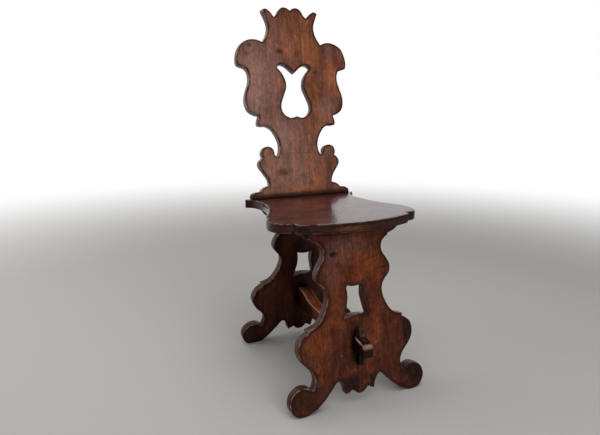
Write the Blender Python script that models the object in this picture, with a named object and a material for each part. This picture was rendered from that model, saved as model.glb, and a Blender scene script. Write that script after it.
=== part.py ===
"""Sgabello chair: a plank seat on two scrolled trestles, with a pierced plank back.

Units are metres. +Z is up and the chair faces -Y. The origin lies on the floor, under the
middle of the chair's bounding box.
"""

import math

import bmesh
import bpy
from mathutils import Matrix

# Seat
SEAT_HEIGHT = 0.460
SEAT_WIDTH = 0.402
SEAT_DEPTH = 0.397
SEAT_THICKNESS = 0.024

# Back board, measured up its own slope from the seat
BACK_WIDTH = 0.3456
BACK_HEIGHT = 0.5465
BACK_THICKNESS = 0.021
BACK_RAKE = math.radians(10.07)
BACK_INSET = 0.0452
TULIP_WIDTH = 0.104
TULIP_HEIGHT = 0.152
TULIP_RISE = 0.231

# Trestles, measured up their own slope from the floor
TRESTLE_WIDTH = 0.380
TRESTLE_THICKNESS = 0.025
TRESTLE_LEAN = math.radians(9.27)
FRONT_OVERHANG = 0.0517
REAR_GAP = 0.0135
OPENING_WIDTH = 0.065
OPENING_HEIGHT = 0.080
OPENING_RISE = 0.2205

# Stretcher, dished along its top, and the tusk tenon at each of its ends
STRETCHER_WIDTH = 0.034
STRETCHER_DEPTH = 0.058
STRETCHER_RISE = 0.117
STRETCHER_WAIST = 0.038
SHOULDER_LENGTH = 0.015
DISH_LENGTH = 0.090
TUSK_WIDTH = 0.026
TUSK_REACH = 0.050
TUSK_ROOT = 0.012
TUSK_FOOT_STEP = 0.017
TUSK_HEAD_STEP = 0.001
TUSK_FALL = 0.007
TUSK_NOSE_LENGTH = 0.010
TUSK_NOSE_DROP = 0.011

# Keys that lock the tusk tenons
KEY_WIDTH = 0.013
KEY_LENGTH = 0.097
KEY_HEAD_DEPTH = 0.025
KEY_TIP_DEPTH = 0.012
KEY_HEAD_RISE = 0.021
KEY_HEAD_ROUND = 0.013
KEY_DRAW = 0.004

# Blind tenons on the trestles and through tenons on the back
STUB_WIDTH = 0.050
STUB_THICKNESS = 0.012
STUB_DEPTH = 0.014
STUB_SPACING = 0.110
TENON_WIDTH = 0.056
TENON_THICKNESS = 0.013
TENON_SPACING = 0.150
WEDGE_LENGTH = 0.018
WEDGE_BUTT = 0.0045
WEDGE_TIP = 0.0012

# Fits and cutting
CLEARANCE = 0.0003
CUT_MARGIN = 0.012
CUTTER_SPAN = 2.0
WELD_DISTANCE = 0.000001

# Template drawing, in drawn millimetres, and the steps of the short curves
DRAWN_STEP = 6.0
SAME_POINT = 0.5
ROUND_STEPS = 6
DISH_STEPS = 12

# Colour and roughness of each wood
WOODS = {
    "seat": ((0.115, 0.040, 0.024), 0.25),
    "back": ((0.200, 0.078, 0.036), 0.35),
    "trestle": ((0.120, 0.036, 0.017), 0.38),
    "stretcher": ((0.165, 0.060, 0.026), 0.35),
    "key": ((0.030, 0.014, 0.010), 0.30),
    "wedge": ((0.160, 0.070, 0.035), 0.55),
}

COLLECTION_NAME = "sgabello_chair"
CUTTER_COLLECTION_NAME = "sgabello_chair_cutters"

# Heights and places that follow from the sizes above, with y measured from the seat's front edge
UNDERSIDE = SEAT_HEIGHT - SEAT_THICKNESS
TRESTLE_RISE = UNDERSIDE / math.cos(TRESTLE_LEAN)
BACK_Y = SEAT_DEPTH - BACK_INSET
BACK_FOOT_Y = BACK_Y - SEAT_THICKNESS * math.tan(BACK_RAKE)
FRONT_FACE_Y = FRONT_OVERHANG - UNDERSIDE * math.tan(TRESTLE_LEAN)
REAR_FACE_Y = BACK_FOOT_Y - REAR_GAP + UNDERSIDE * math.tan(TRESTLE_LEAN)
MIDDLE_Y = (FRONT_FACE_Y + REAR_FACE_Y) / 2
STRETCHER_TOP = STRETCHER_RISE + STRETCHER_DEPTH
TUSK_FOOT = STRETCHER_RISE + TUSK_FOOT_STEP
TUSK_HEAD = STRETCHER_TOP - TUSK_HEAD_STEP
TUSK_MIDDLE = (TUSK_FOOT + TUSK_HEAD) / 2
TUSK_SLOPE = TUSK_MIDDLE / math.cos(TRESTLE_LEAN)


# Outline drawing. Templates are drawn in millimetres as a right half, from the middle of the
# bottom edge round to the middle of the top edge.

def line(*points):
    """Straight run through the points."""
    return list(points)


def arc(centre, radius, start, end):
    """Round run about a centre, from one angle in degrees to another."""
    steps = max(2, math.ceil(abs(math.radians(end - start)) * radius / DRAWN_STEP))
    angles = [math.radians(start + (end - start) * i / steps) for i in range(steps + 1)]
    return [(centre[0] + radius * math.cos(a), centre[1] + radius * math.sin(a)) for a in angles]


def sweep(*points):
    """Smooth run through the points, a centripetal spline with free ends."""
    first = tuple(2 * a - b for a, b in zip(points[0], points[1]))
    last = tuple(2 * a - b for a, b in zip(points[-1], points[-2]))
    knots = [first, *points, last]
    run = [points[0]]
    for p0, p1, p2, p3 in zip(knots, knots[1:], knots[2:], knots[3:]):
        t1 = math.sqrt(math.dist(p0, p1))
        t2 = t1 + math.sqrt(math.dist(p1, p2))
        t3 = t2 + math.sqrt(math.dist(p2, p3))
        steps = max(2, math.ceil(math.dist(p1, p2) / DRAWN_STEP))
        for i in range(1, steps + 1):
            t = t1 + (t2 - t1) * i / steps
            a1 = between(p0, p1, 0, t1, t)
            a2 = between(p1, p2, t1, t2, t)
            a3 = between(p2, p3, t2, t3, t)
            b1 = between(a1, a2, 0, t2, t)
            b2 = between(a2, a3, t1, t3, t)
            run.append(between(b1, b2, t1, t2, t))
    return run


def between(p, q, start, end, t):
    """Point on the line from p at start to q at end."""
    share = (t - start) / (end - start)
    return (p[0] + (q[0] - p[0]) * share, p[1] + (q[1] - p[1]) * share)


def half_outline(*runs):
    """Runs joined end to end, each shared corner kept once."""
    points = list(runs[0])
    for run in runs[1:]:
        shared = math.dist(points[-1], run[0]) < SAME_POINT
        points.extend(run[1:] if shared else run)
    return points


def fitted(half, width, height):
    """Template half scaled so that its widest and highest points lie at the given sizes."""
    widest = max(x for x, _ in half)
    highest = max(y for _, y in half)
    return [(x * width / 2 / widest, y * height / highest) for x, y in half]


def shifted(points, rise):
    """Points moved up their board."""
    return [(x, y + rise) for x, y in points]


def mirrored(half):
    """Closed loop from a right half and its reflection."""
    left = [(-x, y) for x, y in reversed(half) if x > WELD_DISTANCE]
    return half + left


def quarter_round(centre, across, up):
    """Quarter of an ellipse about a centre, from its side round to its top."""
    turns = [math.pi / 2 * i / ROUND_STEPS for i in range(ROUND_STEPS + 1)]
    return [(centre[0] + across * math.cos(a), centre[1] + up * math.sin(a)) for a in turns]


def eased_fall(start, end, high, low):
    """Run that eases from a height at start down to another at end."""
    shares = [i / DISH_STEPS for i in range(DISH_STEPS + 1)]
    return [(start + (end - start) * t, low + (high - low) * (1 + math.cos(math.pi * t)) / 2)
            for t in shares]


def back_outline():
    """Base mouldings, curls, collar, swelling body, shoulders, horns and crown.

    The foot is drawn into the seat, and is cut level with it later.
    """
    half = half_outline(
        line((0, -12), (150.5, -12), (150.5, 6)),
        sweep((150.5, 6), (148.5, 14), (143, 19), (136, 20.5), (127, 21)),
        sweep((127, 21), (123.5, 27), (117, 32), (110, 34.5), (101, 37.5)),
        sweep((101, 37.5), (104, 53), (109, 62.5), (117.5, 74.5), (125.5, 86), (129.4, 96),
              (127.5, 105.5), (122, 112.5), (115.5, 118.5)),
        arc((98, 129.3), 20.5, -32, 190),
        sweep((77.8, 125.7), (74, 121.8), (69, 120)),
        sweep((69, 120), (64, 131), (61.3, 146), (62.5, 161), (69, 177.5), (78, 192), (89, 202.5),
              (100, 206.8), (111, 206.3), (122, 208)),
        sweep((122, 208), (124, 215), (122, 226), (118, 236.5)),
        sweep((118, 236.5), (128, 238.5), (138, 243), (147, 251), (153, 262), (155.5, 276),
              (153.5, 296), (147, 314.5), (141.5, 331), (139.4, 343), (140.3, 355), (143.6, 365),
              (150.5, 371), (160, 373.8), (169.5, 376.5)),
        sweep((169.5, 376.5), (172.5, 386), (172.8, 397), (168.5, 416.5), (158.5, 434.5),
              (141, 447), (122, 451.8), (105, 450.5), (91, 445)),
        sweep((91, 445), (80.5, 460), (73.8, 477), (71.7, 490), (74, 504), (80, 519), (87, 534)),
        sweep((87, 534), (80.5, 538.5), (72, 538), (61, 530.5), (50, 518)),
        sweep((50, 518), (41, 526.5), (33.5, 539), (26, 545), (17, 546.5), (8, 544.5), (0, 539)),
    )
    return mirrored(fitted(half, BACK_WIDTH, BACK_HEIGHT))


def tulip_outline():
    """Tulip piercing of the back, from its foot to the dip between its petals."""
    half = half_outline(
        sweep((0, 4.5), (10, 1), (20, 0), (29, 3.3), (37.5, 10), (43.8, 19.5), (46, 28), (45.3, 37),
              (42.5, 47.5), (37.5, 59.5), (32, 72), (27.3, 85), (26.2, 97), (28.3, 109), (33.5, 121),
              (42.5, 133.5), (52, 143.5)),
        sweep((52, 143.5), (45.5, 150), (36, 152), (27, 149.5), (18, 143.5), (8, 135), (0, 128)),
    )
    return shifted(mirrored(fitted(half, TULIP_WIDTH, TULIP_HEIGHT)), TULIP_RISE)


def trestle_outline():
    """Apron, arch, round foot, lobe, cusp, waist, bulge, neck and stepped top of a trestle."""
    half = half_outline(
        arc((0, 46.5), 22, -90, -25),
        sweep((19.9, 37.2), (26, 35.8), (33, 31.5), (39.5, 29.5)),
        sweep((39.5, 29.5), (42.5, 42), (46.5, 53), (52, 61), (60, 65.5), (68, 60), (76, 50),
              (86, 39.5), (97, 28.5), (109, 18.5), (121.5, 10), (140.5, 1.6)),
        arc((154, 35), 36, -112, 137),
        sweep((127.7, 59.6), (122.5, 72), (121.2, 86), (125.3, 98.5), (133, 110), (143, 120.5),
              (151.5, 131), (158.5, 145), (161.4, 160), (157.5, 176.5), (149, 188.5), (140, 195.5),
              (132, 199.5)),
        line((132, 199.5), (134, 206)),
        sweep((134, 206), (121.5, 209.5), (110, 214), (100.5, 221.5), (90.5, 235), (83, 250.5),
              (78, 266), (76.6, 277), (78.6, 290), (84.5, 301), (94, 311), (100.5, 319.5),
              (102.9, 330), (100, 343.5), (93, 357), (84.5, 368.5), (79.6, 381), (80.5, 391),
              (85, 400), (92, 407), (100, 412.5)),
        line((100, 412.5), (102, 417.5)),
        sweep((102, 417.5), (112, 420.5), (122, 425), (128, 430)),
        sweep((128, 430), (134, 433.5), (140, 442)),
    )
    half = fitted(half, TRESTLE_WIDTH, TRESTLE_RISE)
    top = half[-1]
    return mirrored(half + [(top[0], top[1] + CUT_MARGIN), (0, top[1] + CUT_MARGIN)])


def opening_outline():
    """Four-cornered piercing of a trestle, its sides bowed inwards."""
    half = half_outline(
        sweep((0, 5.5), (16, 4), (32.5, 0)),
        sweep((32.5, 0), (28, 17.5), (24, 33.5), (21.6, 48), (22, 63.5), (24.5, 80)),
        sweep((24.5, 80), (12, 76.5), (0, 75)),
    )
    return shifted(mirrored(fitted(half, OPENING_WIDTH, OPENING_HEIGHT)), OPENING_RISE)


def seat_outline():
    """Bowed front, stepped corners, drawn-in sides and flared rear ears of the seat."""
    half = half_outline(
        arc((0, 380), 380, -90, -67),
        sweep((148.5, 30.2), (151.5, 36), (153, 48.5)),
        sweep((153, 48.5), (164, 48), (176, 51), (188, 58.5), (196.5, 71), (200.5, 86), (201, 101),
              (196.5, 122), (185, 149), (169, 179), (155, 214), (146.5, 253), (143, 286),
              (143.5, 306), (149, 328), (158, 347), (174.5, 361)),
        sweep((174.5, 361), (172.5, 366), (164, 368), (154, 369)),
        sweep((154, 369), (151, 379), (148.5, 391)),
        sweep((148.5, 391), (75, 395.5), (0, 397)),
    )
    return mirrored(fitted(half, SEAT_WIDTH, SEAT_DEPTH))


# Solids

def collection(name):
    """New collection linked to the scene."""
    made = bpy.data.collections.new(name)
    bpy.context.scene.collection.children.link(made)
    return made


def plank_mesh(name, loops, thickness):
    """Closed mesh of a flat outline and its piercings, centred on its thickness."""
    curve = bpy.data.curves.new(name, "CURVE")
    curve.dimensions = "2D"
    curve.fill_mode = "BOTH"
    curve.extrude = thickness / 2
    for loop in loops:
        spline = curve.splines.new("POLY")
        spline.points.add(len(loop) - 1)
        for point, (x, y) in zip(spline.points, loop):
            point.co = (x, y, 0, 1)
        spline.use_cyclic_u = True
    drawn = bpy.data.objects.new(name, curve)
    bpy.context.scene.collection.objects.link(drawn)
    drawn_evaluated = drawn.evaluated_get(bpy.context.evaluated_depsgraph_get())
    mesh = bpy.data.meshes.new_from_object(drawn_evaluated)
    bpy.data.objects.remove(drawn)
    bpy.data.curves.remove(curve)
    mesh.name = name
    welded = bmesh.new()
    welded.from_mesh(mesh)
    bmesh.ops.remove_doubles(welded, verts=welded.verts, dist=WELD_DISTANCE)
    bmesh.ops.recalc_face_normals(welded, faces=welded.faces)
    welded.to_mesh(mesh)
    welded.free()
    return mesh


def block_mesh(name, low, high):
    """Box between two corners."""
    mesh = bpy.data.meshes.new(name)
    built = bmesh.new()
    bmesh.ops.create_cube(built, size=1.0)
    size = [b - a for a, b in zip(low, high)]
    middle = [(a + b) / 2 for a, b in zip(low, high)]
    placed = Matrix.Translation(middle) @ Matrix.Diagonal((*size, 1.0))
    bmesh.ops.transform(built, matrix=placed, verts=built.verts)
    built.to_mesh(mesh)
    built.free()
    return mesh


def wood(name, kind):
    """Waxed wood of one kind."""
    colour, roughness = WOODS[kind]
    material = bpy.data.materials.new(name)
    material.use_nodes = True
    shader = material.node_tree.nodes["Principled BSDF"]
    shader.inputs["Base Color"].default_value = (*colour, 1.0)
    shader.inputs["Roughness"].default_value = roughness
    shader.inputs["Metallic"].default_value = 0.0
    return material


def add_part(name, mesh, place, kind):
    """Visible piece with its own wood."""
    piece = bpy.data.objects.new(name, mesh)
    parts.objects.link(piece)
    piece.parent = frame
    piece.matrix_local = place
    mesh.materials.clear()
    mesh.materials.append(wood(name + "_wood", kind))
    return piece


def add_cutter(name, mesh, place):
    """Hidden solid that shapes other pieces."""
    cutter = bpy.data.objects.new(name, mesh)
    cutters.objects.link(cutter)
    cutter.parent = frame
    cutter.matrix_local = place
    cutter.hide_render = True
    cutter.display_type = "WIRE"
    return cutter


def combine(piece, operation, other):
    """Boolean step on a piece."""
    step = piece.modifiers.new(other.name, "BOOLEAN")
    step.operation = operation
    step.solver = "EXACT"
    step.object = other


def leaning(y, lean, facing=0.0):
    """Place of a board: x across, y up its slope, z out of its show face."""
    return (Matrix.Translation((0, y, 0)) @ Matrix.Rotation(facing, 4, "Z")
            @ Matrix.Rotation(math.pi / 2 - lean, 4, "X"))


def side_on(mesh):
    """Turns a profile drawn as out and up into a board's own out and up."""
    mesh.transform(Matrix.Rotation(-math.pi / 2, 4, "Y"))
    return mesh


def lengthwise(mesh):
    """Turns a profile drawn as y and z upright, its thickness across x."""
    mesh.transform(Matrix.Rotation(math.pi / 2, 4, "Z") @ Matrix.Rotation(math.pi / 2, 4, "X"))
    return mesh


def half_spaces():
    """Solid below the floor, solid above the seat's underside and solid below each seat face."""
    wide = CUTTER_SPAN / 2
    level = Matrix.Identity(4)
    floor = block_mesh("below_floor", (-wide, -wide, -CUTTER_SPAN), (wide, wide, 0))
    above = block_mesh("above_underside", (-wide, -wide, UNDERSIDE - CLEARANCE), (wide, wide, CUTTER_SPAN))
    below = block_mesh("below_underside", (-wide, -wide, -CUTTER_SPAN), (wide, wide, UNDERSIDE))
    under = block_mesh("below_seat_top", (-wide, -wide, -CUTTER_SPAN),
                       (wide, wide, SEAT_HEIGHT + CLEARANCE))
    return [add_cutter(mesh.name, mesh, level) for mesh in (floor, above, below, under)]


def stub_tenon(name, place, side, grow):
    """Blind tenon on top of a trestle, or its mortise when grown."""
    middle = side * STUB_SPACING / 2
    half_width = STUB_WIDTH / 2 + grow
    deep = -TRESTLE_THICKNESS / 2
    half_deep = STUB_THICKNESS / 2 + grow
    crown = TRESTLE_RISE + STUB_DEPTH / math.cos(TRESTLE_LEAN) + grow
    mesh = block_mesh(name, (middle - half_width, TRESTLE_RISE - CUT_MARGIN, deep - half_deep),
                      (middle + half_width, crown, deep + half_deep))
    return add_cutter(name, mesh, place)


def back_tenon(name, place, side, grow):
    """Through tenon at the foot of the back, or its mortise when grown."""
    middle = side * TENON_SPACING / 2
    half_width = TENON_WIDTH / 2 + grow
    deep = -BACK_THICKNESS / 2
    half_deep = TENON_THICKNESS / 2 + grow
    foot = -SEAT_THICKNESS / math.cos(BACK_RAKE) - CUT_MARGIN
    mesh = block_mesh(name, (middle - half_width, foot, deep - half_deep),
                      (middle + half_width, CUT_MARGIN, deep + half_deep))
    return add_cutter(name, mesh, place)


def wedge_mesh(name, grow):
    """Wedge driven up the end of a back tenon, or its kerf when grown."""
    foot = -SEAT_THICKNESS / math.cos(BACK_RAKE)
    tip = foot + WEDGE_LENGTH + grow
    spread = (WEDGE_BUTT - WEDGE_TIP) / WEDGE_LENGTH
    low = foot - CUT_MARGIN
    half_low = (WEDGE_BUTT + spread * CUT_MARGIN) / 2 + grow
    half_tip = WEDGE_TIP / 2 + grow
    profile = [(-half_low, low), (half_low, low), (half_tip, tip), (-half_tip, tip)]
    return plank_mesh(name, [profile], TENON_THICKNESS + 2 * grow)


def key_slope(up):
    """Depth of a key, from its flat side to its sloping side, at a height from the tusk's middle."""
    top, tip = key_ends()
    return KEY_TIP_DEPTH + (KEY_HEAD_DEPTH - KEY_TIP_DEPTH) * (up - tip) / (top - tip)


def key_ends():
    """Top and tip of a key, up the trestle from the tusk's middle."""
    top = (TUSK_HEAD - TUSK_MIDDLE) / math.cos(TRESTLE_LEAN) + KEY_HEAD_RISE
    return top, top - KEY_LENGTH


def key_mesh(name):
    """Tapered key with a rounded head, its flat side on the trestle."""
    top, tip = key_ends()
    round_foot = top - KEY_HEAD_ROUND
    head = key_slope(round_foot) + CLEARANCE
    nose = quarter_round((head - KEY_HEAD_ROUND, round_foot), KEY_HEAD_ROUND, KEY_HEAD_ROUND)
    profile = [(CLEARANCE, tip), (key_slope(tip) + CLEARANCE, tip), *nose, (CLEARANCE, top)]
    return side_on(plank_mesh(name, [profile], KEY_WIDTH))


def key_way_mesh(name):
    """Slot through a tusk tenon, sloped like the key and let back inside the trestle."""
    reach = TUSK_HEAD - TUSK_FOOT
    outer = [(key_slope(up) + 2 * CLEARANCE, up) for up in (-reach, reach)]
    profile = [(-KEY_DRAW, -reach), outer[0], outer[1], (-KEY_DRAW, reach)]
    return side_on(plank_mesh(name, [profile], KEY_WIDTH + 2 * CLEARANCE))


def stretcher_reach(rise):
    """Distance from the stretcher's middle to the shoulder at a height."""
    inner = (REAR_FACE_Y - FRONT_FACE_Y) / 2 - TRESTLE_THICKNESS / math.cos(TRESTLE_LEAN)
    return inner - CLEARANCE - rise * math.tan(TRESTLE_LEAN)


def stretcher_bar_mesh(name):
    """Bar between the trestles, dished along its top, its shoulders cut to their lean."""
    foot = (stretcher_reach(STRETCHER_RISE), STRETCHER_RISE)
    head = (stretcher_reach(STRETCHER_TOP), STRETCHER_TOP)
    brink = head[0] - SHOULDER_LENGTH
    waist = STRETCHER_RISE + STRETCHER_WAIST
    half = [foot, head, *eased_fall(brink, brink - DISH_LENGTH, STRETCHER_TOP, waist)]
    return lengthwise(plank_mesh(name, [mirrored(half)], STRETCHER_WIDTH))


def tusk_mesh(name, way):
    """Tusk tenon at one end of the stretcher, its top sloped down to a rounded nose."""
    root = stretcher_reach(TUSK_HEAD) - TUSK_ROOT
    face = (REAR_FACE_Y - FRONT_FACE_Y) / 2 - TUSK_MIDDLE * math.tan(TRESTLE_LEAN)
    end = face + TUSK_REACH
    brow = TUSK_HEAD - TUSK_FALL - TUSK_NOSE_DROP
    nose = quarter_round((end - TUSK_NOSE_LENGTH, brow), TUSK_NOSE_LENGTH, TUSK_NOSE_DROP)
    profile = [(root, TUSK_FOOT), (end, TUSK_FOOT), *nose, (face, TUSK_HEAD), (root, TUSK_HEAD)]
    return lengthwise(plank_mesh(name, [[(way * y, z) for y, z in profile]], TUSK_WIDTH))


def centre_over_origin(pieces):
    """Moves the chair so that its bounding box is centred over the origin."""
    bpy.context.view_layer.update()
    depsgraph = bpy.context.evaluated_depsgraph_get()
    reach = []
    for piece in pieces:
        solid = piece.evaluated_get(depsgraph)
        reach.extend((solid.matrix_world @ vertex.co).y for vertex in solid.data.vertices)
    frame.location.y -= (min(reach) + max(reach)) / 2


for old in list(bpy.data.objects):
    bpy.data.objects.remove(old)

parts = collection(COLLECTION_NAME)
cutters = collection(CUTTER_COLLECTION_NAME)
frame = bpy.data.objects.new("chair_frame", None)
parts.objects.link(frame)

below_floor, above_underside, below_underside, below_seat_top = half_spaces()
back_place = (Matrix.Translation((0, 0, SEAT_HEIGHT)) @ leaning(BACK_Y, BACK_RAKE))
board_depth = Matrix.Translation((0, 0, -BACK_THICKNESS / 2))
trestle_depth = Matrix.Translation((0, 0, -TRESTLE_THICKNESS / 2))
trestle_places = {
    "front": leaning(FRONT_FACE_Y, TRESTLE_LEAN),
    "rear": leaning(REAR_FACE_Y, TRESTLE_LEAN, math.pi),
}
sides = {"left": -1, "right": 1}

# Seat board
seat_place = Matrix.Translation((0, 0, SEAT_HEIGHT - SEAT_THICKNESS / 2))
seat_mesh = plank_mesh("seat_board", [seat_outline()], SEAT_THICKNESS)
seat = add_part("seat_board", seat_mesh, seat_place, "seat")

# Back board with its through tenons and their wedges
back_mesh = plank_mesh("back_board", [back_outline(), tulip_outline()], BACK_THICKNESS)
back = add_part("back_board", back_mesh, back_place @ board_depth, "back")
combine(back, "DIFFERENCE", below_seat_top)
for side_name, side in sides.items():
    combine(back, "UNION", back_tenon(side_name + "_back_tenon", back_place, side, 0.0))
    combine(seat, "DIFFERENCE", back_tenon(side_name + "_back_mortise", back_place, side, CLEARANCE))
combine(back, "DIFFERENCE", below_underside)
wedges = []
for side_name, side in sides.items():
    wedge_place = back_place @ board_depth @ Matrix.Translation((side * TENON_SPACING / 2, 0, 0))
    kerf = add_cutter(side_name + "_kerf", wedge_mesh(side_name + "_kerf", CLEARANCE), wedge_place)
    combine(back, "DIFFERENCE", kerf)
    wedge_name = side_name + "_tenon_wedge"
    wedge = add_part(wedge_name, wedge_mesh(wedge_name, 0.0), wedge_place, "wedge")
    combine(wedge, "DIFFERENCE", below_underside)
    wedges.append(wedge)

# Trestles with their blind tenons
tusk_place = Matrix.Translation((0, MIDDLE_Y, 0))
wide_tusk = TUSK_WIDTH / 2 + CLEARANCE
tusk_way_mesh = block_mesh("tusk_way", (-wide_tusk, -CUTTER_SPAN / 2, TUSK_FOOT - CLEARANCE),
                           (wide_tusk, CUTTER_SPAN / 2, TUSK_HEAD + CLEARANCE))
tusk_way = add_cutter("tusk_way", tusk_way_mesh, tusk_place)
trestles = []
for end_name, place in trestle_places.items():
    trestle_name = end_name + "_trestle"
    mesh = plank_mesh(trestle_name, [trestle_outline(), opening_outline()], TRESTLE_THICKNESS)
    trestle = add_part(trestle_name, mesh, place @ trestle_depth, "trestle")
    combine(trestle, "DIFFERENCE", above_underside)
    combine(trestle, "DIFFERENCE", below_floor)
    for side_name, side in sides.items():
        stub_name = end_name + "_" + side_name
        combine(trestle, "UNION", stub_tenon(stub_name + "_stub", place, side, 0.0))
        combine(seat, "DIFFERENCE", stub_tenon(stub_name + "_mortise", place, side, CLEARANCE))
    combine(trestle, "DIFFERENCE", tusk_way)
    trestles.append(trestle)

# Stretcher with its tusk tenons and their keys
stretcher_mesh = stretcher_bar_mesh("stretcher")
stretcher = add_part("stretcher", stretcher_mesh, tusk_place, "stretcher")
keys = []
for (end_name, place), way in zip(trestle_places.items(), (-1, 1)):
    tusk_name = end_name + "_tusk"
    combine(stretcher, "UNION", add_cutter(tusk_name, tusk_mesh(tusk_name, way), tusk_place))
    key_place = place @ Matrix.Translation((0, TUSK_SLOPE, 0))
    key_way = add_cutter(end_name + "_key_way", key_way_mesh(end_name + "_key_way"), key_place)
    combine(stretcher, "DIFFERENCE", key_way)
    key_name = end_name + "_key"
    keys.append(add_part(key_name, key_mesh(key_name), key_place, "key"))

centre_over_origin([seat, back, stretcher, *wedges, *trestles, *keys])
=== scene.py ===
"""Worn walnut finish of a sgabello chair, with its studio floor, lights and camera."""

import math

import bmesh
import bpy
from mathutils import Euler, Matrix, Vector
from mathutils.geometry import delaunay_2d_cdt
from mathutils.kdtree import KDTree


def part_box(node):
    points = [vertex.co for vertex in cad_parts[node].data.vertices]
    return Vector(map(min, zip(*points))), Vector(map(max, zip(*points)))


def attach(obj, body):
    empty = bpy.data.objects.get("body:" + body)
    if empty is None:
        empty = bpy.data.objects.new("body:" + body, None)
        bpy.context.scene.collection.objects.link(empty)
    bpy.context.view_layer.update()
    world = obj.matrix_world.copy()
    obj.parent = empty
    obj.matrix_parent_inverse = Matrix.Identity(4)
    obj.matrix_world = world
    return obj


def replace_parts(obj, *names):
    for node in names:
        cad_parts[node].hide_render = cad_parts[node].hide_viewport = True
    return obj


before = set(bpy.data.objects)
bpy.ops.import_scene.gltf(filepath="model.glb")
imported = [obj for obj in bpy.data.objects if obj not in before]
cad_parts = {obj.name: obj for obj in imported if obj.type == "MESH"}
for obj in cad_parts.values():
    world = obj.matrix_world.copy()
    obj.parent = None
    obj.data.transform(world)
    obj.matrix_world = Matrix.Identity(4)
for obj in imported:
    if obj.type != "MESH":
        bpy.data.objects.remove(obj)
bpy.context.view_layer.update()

# Joints that the boards meet at
SEAT_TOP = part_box("seat_board")[1].z
SEAT_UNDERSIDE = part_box("seat_board")[0].z
SEAT_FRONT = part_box("seat_board")[0].y
BAR_LOW, BAR_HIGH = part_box("stretcher")
KEY_LOW, KEY_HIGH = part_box("front_key")
JOINT_MARGIN = 0.001

# What counts as a broad face, a sharp or a flat edge, a welded point and an outline
BROAD = 0.9995
PLANE_STEP = 0.0005
SHARP = math.radians(30)
SMOOTH = math.radians(40)
FLAT = math.radians(0.5)
MERGE = 0.00001
PIERCING_EDGES = 12

# Rows of points on a rounded arris, and the even net of points between arrises
ARRIS_STEP = 0.003
ARRIS_SAMPLE = 0.0015
ARRIS_TURN = math.radians(45)
ROW_TURNS = (math.radians(22.5), 0.0)
ROW_MARGIN = 0.9
NET_MARGIN = 0.6
NUDGE = 0.00002
PLANK_NET = 0.007
BLOCK_NET = 0.008

# Radius of the rounded arrises, and depth of the chips in them
SEAT_ARRIS = 0.0025
PLANK_ARRIS = 0.0020
BAR_ARRIS = 0.0018
KEY_ARRIS = 0.0012
WEDGE_ARRIS = 0.0003
SEAT_CHIP_DEPTH = 0.0015
FOOT_CHIP_DEPTH = 0.0022

# Wear along the arrises, and wander of the flat faces
ARRIS_REACH = 0.004
WEAR_LENGTH = 0.022
WEAR_DETAIL = 3.0
WEAR_STEP = (0.35, 0.8)
WANDER_LENGTH = 0.09
WANDER_DETAIL = 2.0

# Foot of the back, set down on the seat, with askew ends on its lowest step
FOOT_GAP = 0.00035
FOOT_SINK = 0.0001
FOOT_STEP = 0.024
FOOT_STEP_START = 0.112
FOOT_STEP_END = 0.158
FOOT_SPLAY = 0.018
FOOT_PIVOT = 0.45
BACK_THICK = 0.021

# Dirt and painted shade round the foot of the back and round the keys, and the farthest distance that is
# marked
BACK_FOOT_HALF = 0.150
KEY_DIRT_SHIFT = 0.004
KEY_DIRT_INSET = 0.02
KEY_DIRT_STRETCH = 0.7
FAR = 0.06

# Patterns that grew in the wood or settled on it: share along the grain, scale, detail and roughness
GROWN_PATTERNS = {
    "bands": (0.06, 30.0, 3.0, 0.6),
    "streaks": (0.05, 140.0, 3.0, 0.6),
    "lines": (0.025, 420.0, 2.0, 0.5),
    "fibres": (0.04, 1100.0, 2.0, 0.5),
    "pores": (0.07, 1600.0, 1.0, 0.5),
}
SETTLED_PATTERNS = {
    "patches": (0.6, 17.0, 4.0, 0.65),
    "stains": (0.8, 21.0, 4.0, 0.65),
    "smears": (0.6, 60.0, 4.0, 0.65),
    "flecks": (0.6, 150.0, 4.0, 0.7),
}

# How far the patterns swing the tone of the wood
FIGURE_SWINGS = {"streaks": 0.40, "lines": 0.50, "fibres": 0.35, "smears": 0.75, "flecks": 0.9}
PORE_SWING = 0.25

# Where a pattern sets in and where it is full
BAND_STEP = (0.34, 0.66)
PORE_STEP = (0.60, 0.70)
GLOW_STEP = (0.46, 0.70)
DULL_STEP = (0.50, 0.72)
RAGGED_STEP = (0.22, 0.55)
SEAM_STEP = (0.30, 0.55)
RUB_STEP = (0.42, 0.60)

# Scale and reach of the drift of the grain and of the spots
DRIFT_SHARE = 0.4
GRAIN_DRIFT = (4.0, 0.03)
SPOT_DRIFT = (28.0, 0.02)

# Distances and directions over which a finish changes
SPOT_FADE = (1.0, 0.2)
SEAM_EDGE = 0.0008
SEAM_FADE = (0.06, 0.01)
SEAM_LINE = (0.0016, 0.0003)
NOOK_CORE = 0.3
RUB_SIDES = (-0.08, 0.06)
RUB_CLEAR = (0.003, 0.009)
POLISH_REACH = 0.002
EDGE_FACING = (0.1, 0.8)
TOP_FACING = (0.5, 0.9)

# Gloss and relief of the waxed surface
STREAK_GLOSS = 0.25
SMEAR_GLOSS = 0.2
FIBRE_RIDGE = 0.5
PORE_PIT = 0.6
RELIEF_HEIGHT = 0.0004

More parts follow.
